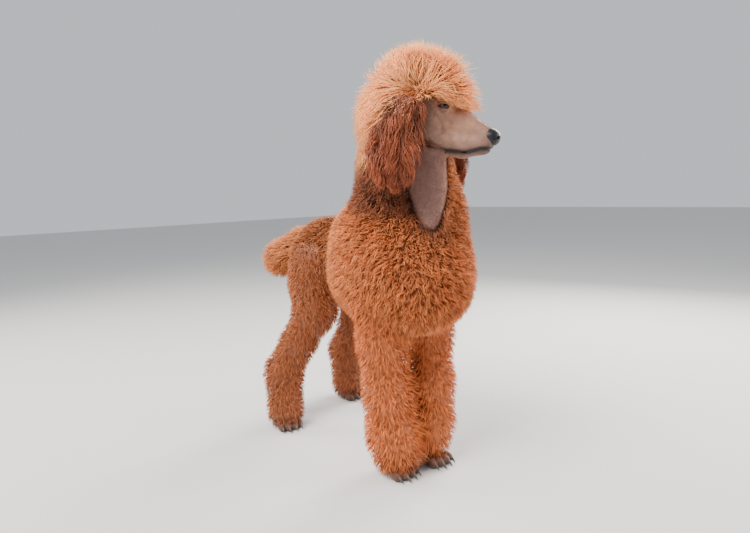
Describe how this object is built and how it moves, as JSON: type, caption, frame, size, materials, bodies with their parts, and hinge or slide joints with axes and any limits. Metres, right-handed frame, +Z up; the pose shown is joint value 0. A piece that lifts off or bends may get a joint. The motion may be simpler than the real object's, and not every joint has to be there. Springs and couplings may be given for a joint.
{
  "type": "standard poodle",
  "caption": "Life-size standing standard poodle with a domed topknot, feathered ears, clipped face and throat, curly jacket, full leg coat and a brush tail, its head turned aside.",
  "frame": {"origin": "on the floor, under the middle of the dog's bounding box", "axes": "+Z up, -Y the way the dog's body faces, +X to the dog's left"},
  "size_m": [0.401, 0.842, 1.0052],
  "materials": {
    "topknot_coat": "soft combed-out apricot hair, fluffy",
    "jacket_coat": "dense crimped curls, matt orange-brown",
    "leg_coat": "brushed-out rust-orange hair",
    "ear_coat": "long wavy deep red hair",
    "face_coat": "very short clipped mauve-brown hair",
    "nose_leather": "dark pebbled skin with a soft sheen",
    "eye": "dark, wet and glossy",
    "claw": "dark horn, half gloss"
  },
  "bodies": {
    "root": {"topknot": "topknot_coat", "face": "face_coat", "lower_jaw": "face_coat", "nose": "nose_leather", "eye_right": "eye", "eye_left": "eye", "ear_right": "ear_coat", "ear_left": "ear_coat", "neck": "jacket_coat", "chest": "jacket_coat", "hindquarters": "leg_coat", "tail": "topknot_coat", "foreleg_right": "leg_coat", "forepaw_right": "leg_coat", "hindleg_right": "leg_coat", "hindpaw_right": "leg_coat", "forepaw_right_claw_1": "claw", "forepaw_right_claw_2": "claw", "forepaw_right_claw_3": "claw", "forepaw_right_claw_4": "claw", "hindpaw_right_claw_1": "claw", "hindpaw_right_claw_2": "claw", "hindpaw_right_claw_3": "claw", "hindpaw_right_claw_4": "claw", "foreleg_left": "leg_coat", "forepaw_left": "leg_coat", "hindleg_left": "leg_coat", "hindpaw_left": "leg_coat", "forepaw_left_claw_1": "claw", "forepaw_left_claw_2": "claw", "forepaw_left_claw_3": "claw", "forepaw_left_claw_4": "claw", "hindpaw_left_claw_1": "claw", "hindpaw_left_claw_2": "claw", "hindpaw_left_claw_3": "claw", "hindpaw_left_claw_4": "claw"}
  },
  "joints": []
}
